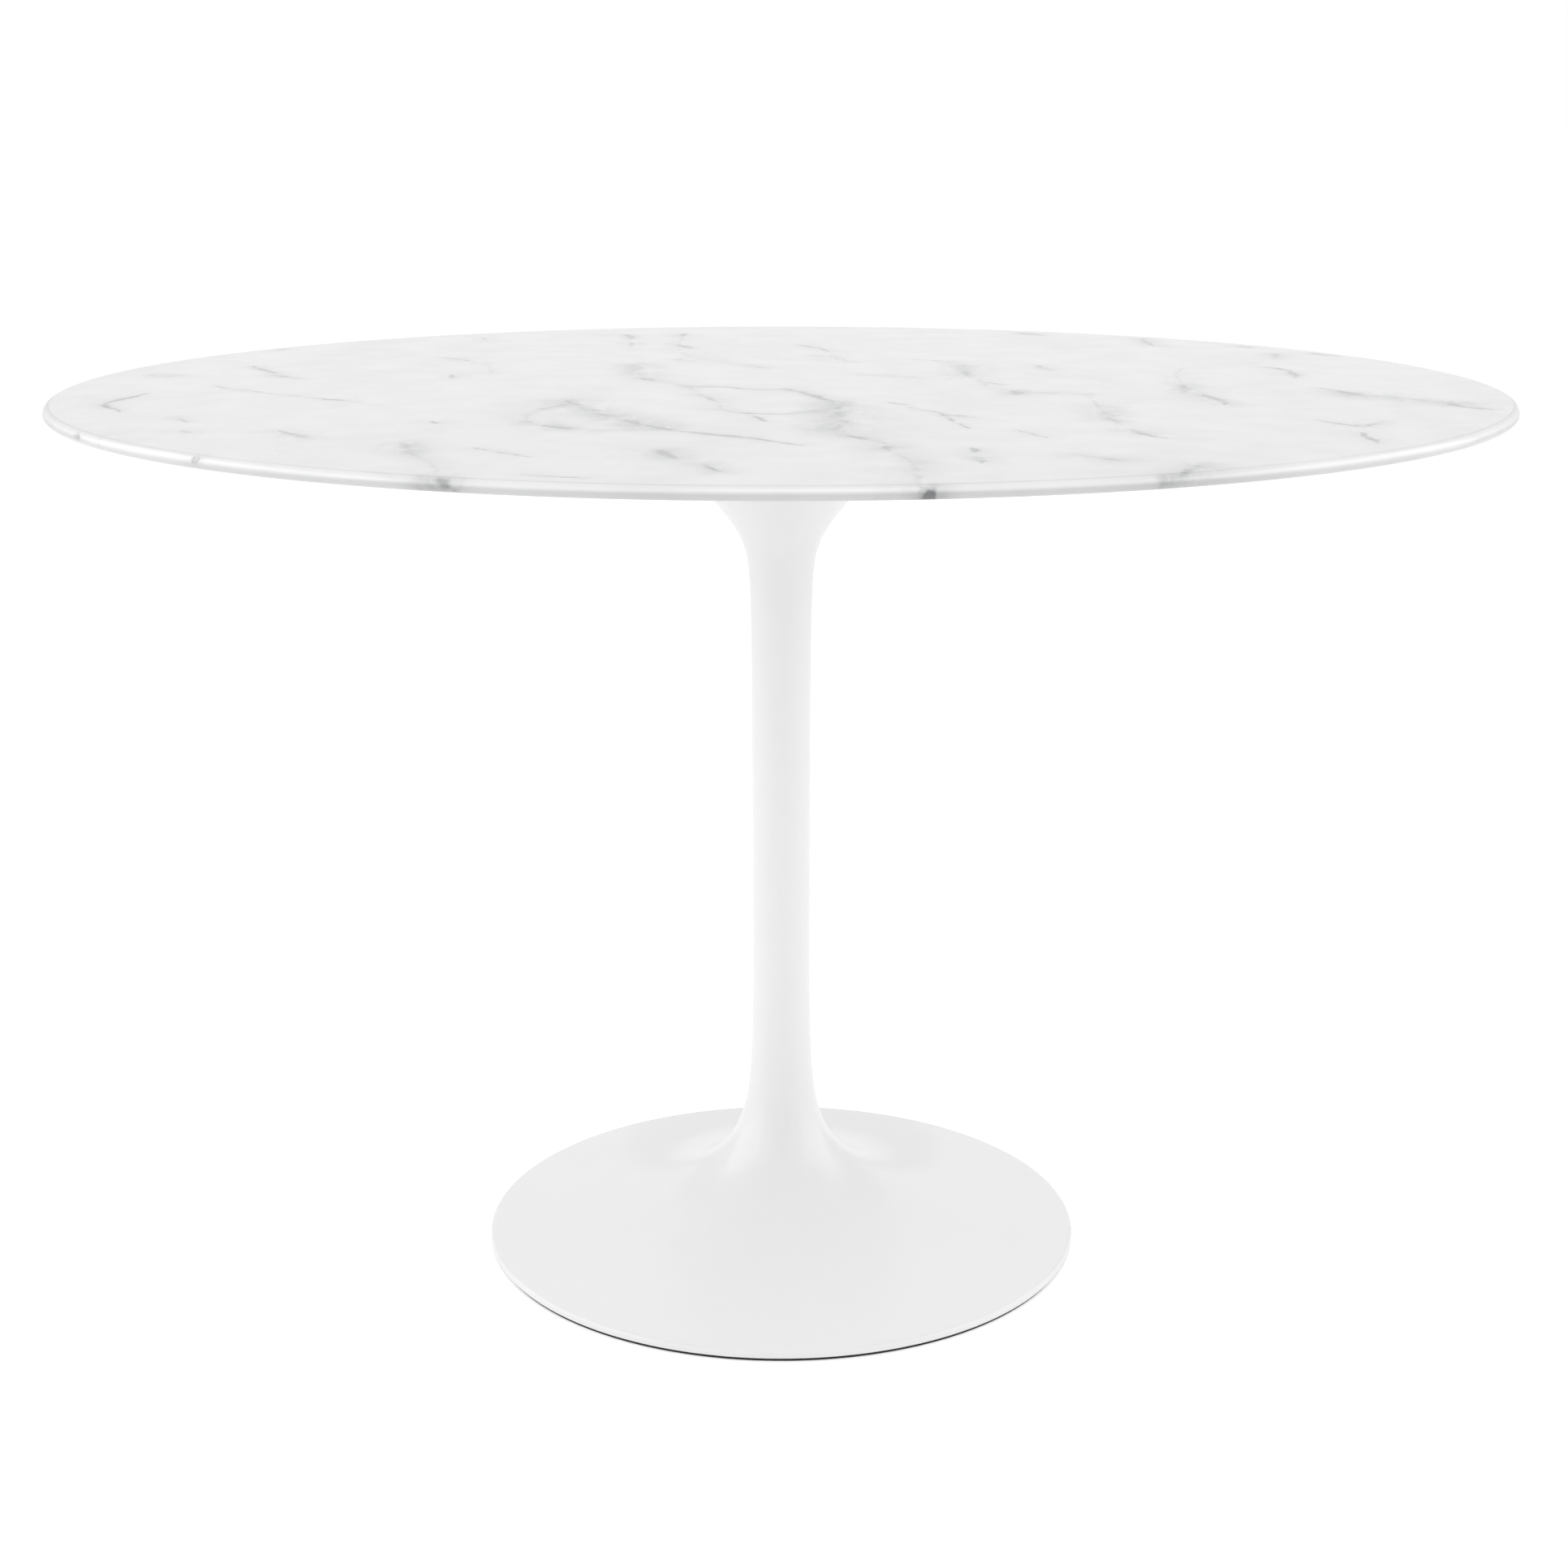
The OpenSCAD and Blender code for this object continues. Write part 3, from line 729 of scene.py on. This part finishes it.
def hex_outline(bore, apothem, low, high, chamfer_low=True, chamfer_high=True):
    """Outline of a nut or bolt head, chamfered at 30 degrees where asked."""
    corner = apothem / math.cos(math.pi / 6)
    flat = apothem * 0.96
    fall = (corner - flat) * math.tan(math.radians(30))
    steps = [i / 8 for i in range(9)]

    def chamfer(z, sign):
        return [(flat + (corner - flat) * t, z + sign * fall * t) for t in steps]

    inner = 0.5 * MM if bore else 0
    outline = [(bore, low + inner), (bore + inner, low)]
    outline += chamfer(low, 1) if chamfer_low else [(corner, low)]
    outline += chamfer(high, -1)[::-1] if chamfer_high else [(corner, high)]
    outline += [(bore + inner, high), (bore, high - inner)]
    return outline if bore else [(0, low)] + outline[2:-2] + [(0, high)]


def washer(in_r, out_r, low, high):
    """A flat ring with its edges broken."""
    edge = 0.2 * MM
    outline = [(in_r, low + edge), (in_r + edge, low), (out_r - edge, low), (out_r, low + edge)]
    outline += [(out_r, high - edge), (out_r - edge, high), (in_r + edge, high), (in_r, high - edge)]
    return turned(outline, 64)


def thread(pitch, depth, low, high):
    """A shape that cuts a one-start thread of triangular section between two heights."""
    def shape(r, z, angle):
        if not low <= z <= high:
            return r
        phase = np.mod(z / pitch - angle / (2 * math.pi), 1.0)
        fade = min(1.0, (z - low) / pitch + 0.05, (high - z) / pitch + 0.05)
        return r - depth * fade * np.abs(2 * phase - 1)
    return shape


def build_tie_rod(material):
    """M12 rod with its two threaded ends."""
    pitch, depth, chamfer = 1.75 * MM, 0.9 * MM, 1 * MM
    low, high = rod_low.z, rod_high.z
    lower_end, upper_start = low + 55 * MM, high - 45 * MM
    step = pitch / 6
    heights = spaced(low + chamfer, lower_end, step) + spaced(lower_end, upper_start, 60 * MM)
    heights += spaced(upper_start, high - chamfer, step)
    lower = thread(pitch, depth, low + chamfer, lower_end)
    upper = thread(pitch, depth, upper_start, high - chamfer)

    def both(r, z, angle):
        return upper(lower(r, z, angle), z, angle)

    outline = [(0, low), (ROD_R - chamfer, low)] + [(ROD_R, z) for z in heights]
    outline += [(ROD_R - chamfer, high), (0, high)]
    return piece("threaded_tie_rod", turned(outline, 36, both), material, ["tie_rod"], 40)


def build_nut(name, cad_node, material):
    """A nut on the tie rod."""
    low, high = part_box(cad_node)
    apothem = high.x * math.cos(math.pi / 6)
    outline = hex_outline(ROD_R, apothem, low.z, high.z)
    return piece(name, turned(outline, 96, hexagon(apothem)), material, [cad_node])


def build_ring_part(name, cad_node, in_r, material):
    """A washer or disc in the middle of the table."""
    low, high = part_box(cad_node)
    return piece(name, washer(in_r, high.x, low.z, high.z), material, [cad_node])


def build_plate_screws(material):
    """Socket-head screws, seen from below."""
    low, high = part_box("plate_screws")
    edge, end = 0.8 * MM, 0.6 * MM
    socket_depth, socket_apothem = 2.4 * MM, 2.2 * MM
    head_top = low.z + SCREW_HEAD_H
    socket_r = socket_apothem / math.cos(math.pi / 6)

    def shape(r, z, angle):
        inside = r[0] <= socket_r + 1e-9 and z < head_top - 1e-6
        return hexagon(socket_apothem)(r, z, angle) if inside else r

    outline = [(0, low.z + socket_depth), (socket_r, low.z + socket_depth), (socket_r, low.z + 0.3 * MM)]
    outline += [(socket_r + 0.4 * MM, low.z)]
    outline += arc(SCREW_HEAD_R - edge, low.z + edge, edge, -90, 0, 5)
    outline += [(SCREW_HEAD_R, head_top), (SCREW_R, head_top), (SCREW_R, high.z - end),
                (SCREW_R - end, high.z), (0, high.z)]
    screw = turned(outline, 48, shape)
    return piece("socket_screws", around(screw, SCREW_COUNT, SCREW_CIRCLE), material,
                 ["plate_screws"])


def build_ballast_ring(material):
    """Cast ring under the foot, with its corners rounded and recesses cut for the bolts and bosses."""
    low, out_r, corner = ballast_low.z, ballast_high.x, 2 * MM
    radii = np.linspace(out_r - 1 * MM, BALLAST_IN_R + corner, 40)
    upper = [(r, foot_z(r) - WALL - BALLAST_GAP) for r in radii]
    outline = arc(BALLAST_IN_R + corner, low + corner, corner, 180, 270, 6)
    outline += arc(out_r - corner, low + corner, corner, -90, 0, 6)
    outline += [(out_r, upper[0][1] - 0.4 * MM)] + upper
    outline += [(BALLAST_IN_R, upper[-1][1] - corner)]
    ring = piece("cast_ballast", turned(outline, 192), material, ["ballast_ring"])
    hole_r = BALLAST_BOLT_R + 0.5 * MM
    below, above = low - 5 * MM, 70 * MM
    drill = turned([(0, below), (RECESS_R, below), (RECESS_R, BALLAST_SEAT_Z), (hole_r, BALLAST_SEAT_Z),
                    (hole_r, BOSS_Z), (RECESS_R, BOSS_Z), (RECESS_R, above), (0, above)], 48)
    verts, faces = around(drill, BALLAST_COUNT, BALLAST_CIRCLE)
    mesh = bpy.data.meshes.new("recess_cutter")
    mesh.from_pydata(verts, [], faces)
    cutter = bpy.data.objects.new("recess_cutter", mesh)
    bpy.context.scene.collection.objects.link(cutter)
    cut = ring.modifiers.new("recesses", "BOOLEAN")
    cut.operation, cut.solver, cut.object = "DIFFERENCE", "EXACT", cutter
    evaluated = ring.evaluated_get(bpy.context.evaluated_depsgraph_get())
    result = bpy.data.meshes.new_from_object(evaluated)
    ring.modifiers.clear()
    ring.data = result
    ring.data.set_sharp_from_angle(angle=math.radians(32))
    bpy.data.objects.remove(cutter)
    return ring


def build_ballast_bolts(material):
    """Hex bolts, seen from below."""
    low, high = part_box("ballast_bolts")
    apothem, end = 6.2 * MM, 0.8 * MM
    head_top = low.z + BALLAST_HEAD_H
    head = turned(hex_outline(0, apothem, low.z, head_top, True, False), 96, hexagon(apothem))
    start = head_top - 1 * MM
    shank = turned([(0, start), (BALLAST_BOLT_R, start), (BALLAST_BOLT_R, high.z - end),
                    (BALLAST_BOLT_R - end, high.z), (0, high.z)], 32)
    bolts = around(joined([head, shank]), BALLAST_COUNT, BALLAST_CIRCLE)
    return piece("hex_bolts", bolts, material, ["ballast_bolts"])


# ---------------------------------------------------------------- the object

lacquer = make_lacquer()
board_paint = make_board_paint()
powder_coat = make_powder_coat()
zinc = make_zinc()
brass = make_brass()
iron = make_iron()
black_rubber = make_rubber("black_rubber", 0.018)
pad_rubber = make_rubber("pad_rubber", 0.12)

build_marble_top(make_marble())
build_pedestal(lacquer)
build_board(board_paint)
build_floor_ring(black_rubber)
build_plate(powder_coat)
build_plate_screws(zinc)
build_tie_rod(zinc)
build_nut("clamp_nut", "rod_nut", zinc)
build_nut("jam_nut", "rod_jam_nut", zinc)
build_ring_part("clamp_disc", "clamp_plate", ROD_R + ROD_CLEARANCE, zinc)
build_ring_part("rod_washer", "rod_flat_washer", ROD_R, zinc)
build_ring_part("rubber_pad", "head_pad", PAD_IN_R, pad_rubber)
build_ballast_ring(iron)
build_ballast_bolts(zinc)

# CAD nodes that show as they are, with a better material
CARRIED = {
    "threaded_inserts": brass, "plate_lock_washers": zinc, "plate_flat_washers": zinc, "plate_hub": zinc,
    "rod_lock_washer": zinc, "ballast_lock_washers": zinc, "ballast_flat_washers": zinc,
}
for cad_name, look in CARRIED.items():
    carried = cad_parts[cad_name]
    carried.data.materials.clear()
    carried.data.materials.append(look)

# ---------------------------------------------------------------- stage, light and camera

# Glow of the floor, and how much more of it the camera sees, so that the floor shows white
FLOOR_GLOW = 0.16
FLOOR_LIFT = 0.2
# Strength of the light from all around
WORLD_LIGHT = 0.736
# Where the lights point
AIM = (0, 0, 0.4)


def build_floor():
    """A wide pale floor."""
    reach = 40.0
    mesh = bpy.data.meshes.new("floor")
    mesh.from_pydata([(-reach, -reach, 0), (reach, -reach, 0), (reach, reach, 0), (-reach, reach, 0)], [],
                     [(0, 1, 2, 3)])
    floor = bpy.data.objects.new("floor", mesh)
    bpy.context.scene.collection.objects.link(floor)
    material, tree, surface, place = shader("pale_floor", 0.9)
    tint(tree, surface, noise(tree, place, 1.5, 3), grey(0.88), grey(0.90))
    surface.inputs["Specular IOR Level"].default_value = 0.0
    surface.inputs["Emission Color"].default_value = (1, 1, 1, 1)
    seen = node(tree, "ShaderNodeLightPath").outputs["Is Camera Ray"]
    glow = math_node(tree, "ADD", math_node(tree, "MULTIPLY", seen, FLOOR_LIFT), FLOOR_GLOW)
    tree.links.new(glow, surface.inputs["Emission Strength"])
    mesh.materials.append(material)


def build_world():
    """Even pale surroundings; what the camera sees directly is white."""
    world = bpy.data.worlds.new("studio")
    bpy.context.scene.world = world
    world.use_nodes = True
    tree = world.node_tree
    tree.nodes.clear()
    seen = node(tree, "ShaderNodeBackground", {"Color": (1, 1, 1, 1), "Strength": 1.0})
    given = node(tree, "ShaderNodeBackground", {"Color": (1, 1, 1, 1), "Strength": WORLD_LIGHT})
    ray = node(tree, "ShaderNodeLightPath").outputs["Is Camera Ray"]
    mix = node(tree, "ShaderNodeMixShader", {0: ray, 1: given.outputs[0], 2: seen.outputs[0]})
    node(tree, "ShaderNodeOutputWorld", {"Surface": mix.outputs[0]})


def softbox(name, place, width, height, power):
    """A rectangular light, in metres and watts, that points at AIM and that the camera doesn't see."""
    light = bpy.data.lights.new(name, "AREA")
    light.shape = "RECTANGLE"
    light.size, light.size_y, light.energy = width, height, power
    obj = bpy.data.objects.new(name, light)
    obj.visible_camera = False
    obj.location = place
    obj.rotation_euler = (Vector(AIM) - Vector(place)).to_track_quat("-Z", "Y").to_euler()
    bpy.context.scene.collection.objects.link(obj)


def build_camera():
    """The viewpoint: a little above the table top, slightly tilted down, with a small vertical shift."""
    data = bpy.data.cameras.new("camera")
    camera = bpy.data.objects.new("camera", data)
    distance, height, pitch = 2.132, 0.973, 11.87
    data.sensor_width, data.lens = 36.0, 58.83
    data.shift_y = -0.0859
    camera.location = (0.0023, -distance, height)
    camera.rotation_euler = (math.radians(90 - pitch), 0, 0)
    bpy.context.scene.collection.objects.link(camera)
    bpy.context.scene.camera = camera


bpy.context.scene.view_settings.view_transform = "Standard"
build_camera()
build_world()
build_floor()
softbox("top_softbox", (0.2, -1.7, 3.2), 1.4, 1.4, 10)
softbox("left_softbox", (-3.4, 0, 1.6), 4.0, 3.0, 41)
softbox("right_softbox", (3.4, 0, 1.6), 4.0, 3.0, 38)
softbox("left_fill", (-2.6, -2.6, 1.8), 3.0, 3.0, 15)
softbox("right_fill", (2.6, -2.6, 1.8), 3.0, 3.0, 10.5)
softbox("back_softbox", (0, 3.8, 2.0), 4.0, 3.0, 15)
